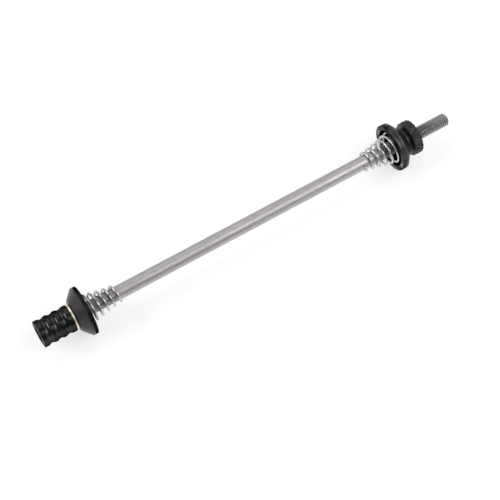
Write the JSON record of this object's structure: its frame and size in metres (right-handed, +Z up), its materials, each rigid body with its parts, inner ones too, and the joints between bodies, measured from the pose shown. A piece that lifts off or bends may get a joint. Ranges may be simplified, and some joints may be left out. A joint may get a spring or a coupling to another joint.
{
  "type": "bicycle wheel skewer",
  "caption": "Slim wheel skewer: steel rod with a ribbed barrel head, sliding cone cap, flared springs and a knurled nut that clamp a hub between toothed faces.",
  "frame": {"origin": "on the rod's axis, half way along the whole skewer", "axes": "+X along the rod from the barrel to the threaded tip, +Z up with the skewer lying on the rims of its two toothed rings"},
  "size_m": [0.165, 0.0176, 0.0176],
  "materials": {
    "satin_steel": "satin, ground along the rod",
    "black_anodised": "satin black anodised",
    "black_steel": "black oxide",
    "brass": "turned, bright",
    "spring_wire": "bright drawn wire"
  },
  "bodies": {
    "rod": {"skewer_rod": "satin_steel", "barrel": "black_anodised"},
    "cap_slider": {"thrust_washer": "brass", "cap_spring": "spring_wire"},
    "cap": {"clamp_cap": "black_anodised", "cap_bite_ring": "black_steel"},
    "nut_slider": {"nut_spring": "spring_wire"},
    "nut": {"adjusting_nut": "black_anodised", "nut_bite_ring": "black_steel"}
  },
  "joints": [
    {"name": "cap_slide", "type": "slide", "parent": "rod", "child": "cap_slider", "axis": [1, 0, 0], "range_m": [0, 0.08]},
    {"name": "cap_turn", "type": "hinge", "parent": "cap_slider", "child": "cap", "pos_m": [-0.067, 0, 0], "axis": [1, 0, 0], "continuous": true},
    {"name": "nut_travel", "type": "slide", "parent": "rod", "child": "nut_slider", "axis": [1, 0, 0], "range_m": [-0.0056, 0.0128]},
    {"name": "nut_turn", "type": "hinge", "parent": "nut_slider", "child": "nut", "pos_m": [0.064, 0, 0], "axis": [1, 0, 0], "range_deg": [-2520, 5760]}
  ],
  "couplings": [
    {"joint": "nut_travel", "follows": "nut_turn", "m_per_rad": 0.00012732}
  ]
}
